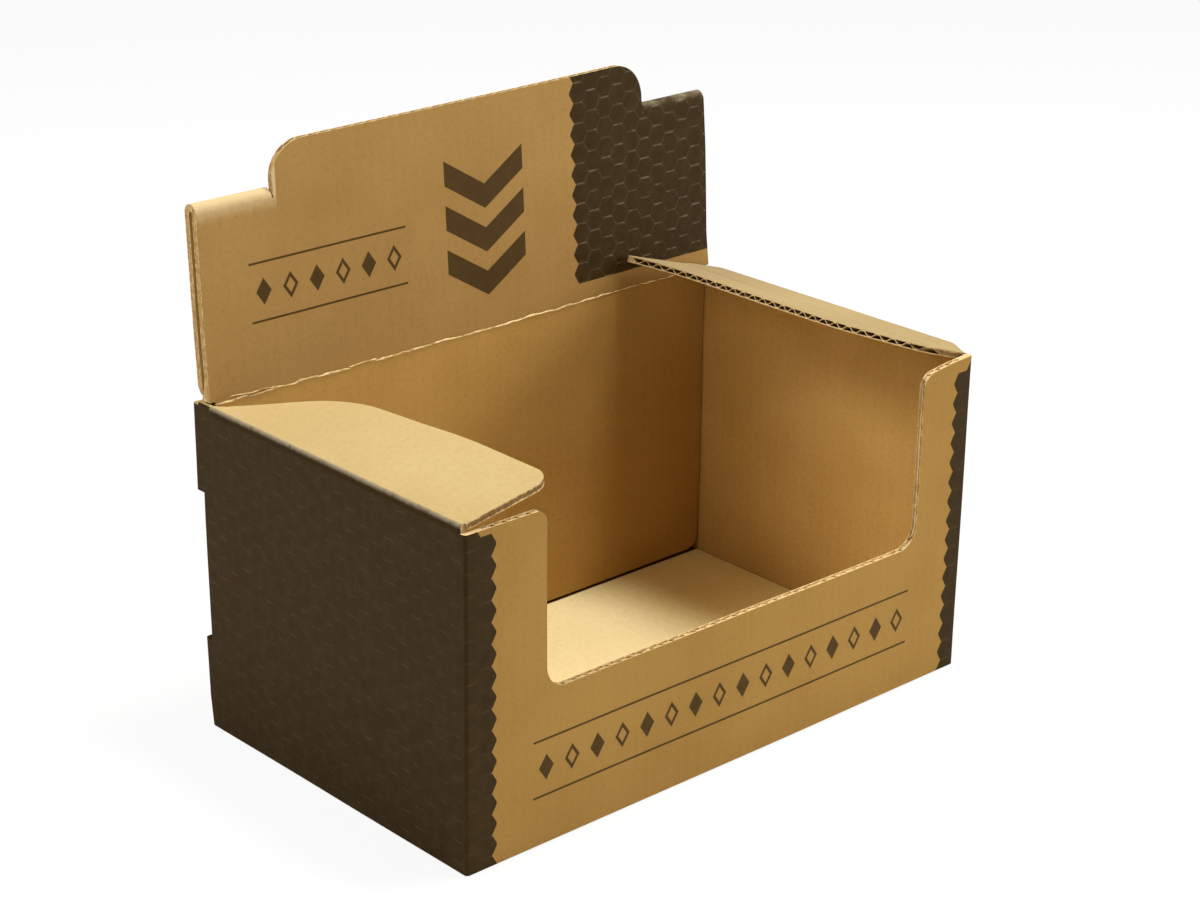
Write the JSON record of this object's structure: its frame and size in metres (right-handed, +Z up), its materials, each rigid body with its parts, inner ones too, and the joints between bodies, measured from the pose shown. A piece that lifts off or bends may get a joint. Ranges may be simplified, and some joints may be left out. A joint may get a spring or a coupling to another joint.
{
  "type": "cardboard counter display box",
  "caption": "Folded corrugated counter display tray with a cut-out front lip, a rolled-over double header with a raised tab, and swinging side flaps.",
  "frame": {"origin": "centre of the tray's base, on the counter", "axes": "+X along the front to the right, +Y to the back, +Z up"},
  "size_m": [0.168, 0.1027, 0.1477],
  "materials": {
    "board": "matt kraft"
  },
  "bodies": {
    "tray": {"folded_blank": "board"},
    "left_flap": {"left_flap": "board"},
    "right_flap": {"right_flap": "board"}
  },
  "joints": [
    {"name": "left_flap_fold", "type": "hinge", "parent": "tray", "child": "left_flap", "pos_m": [-0.08315, 0, 0.08615], "axis": [0, -1, 0], "range_deg": [-9, 126]},
    {"name": "right_flap_fold", "type": "hinge", "parent": "tray", "child": "right_flap", "pos_m": [0.08315, 0, 0.08615], "axis": [0, 1, 0], "range_deg": [-18, 117]}
  ]
}
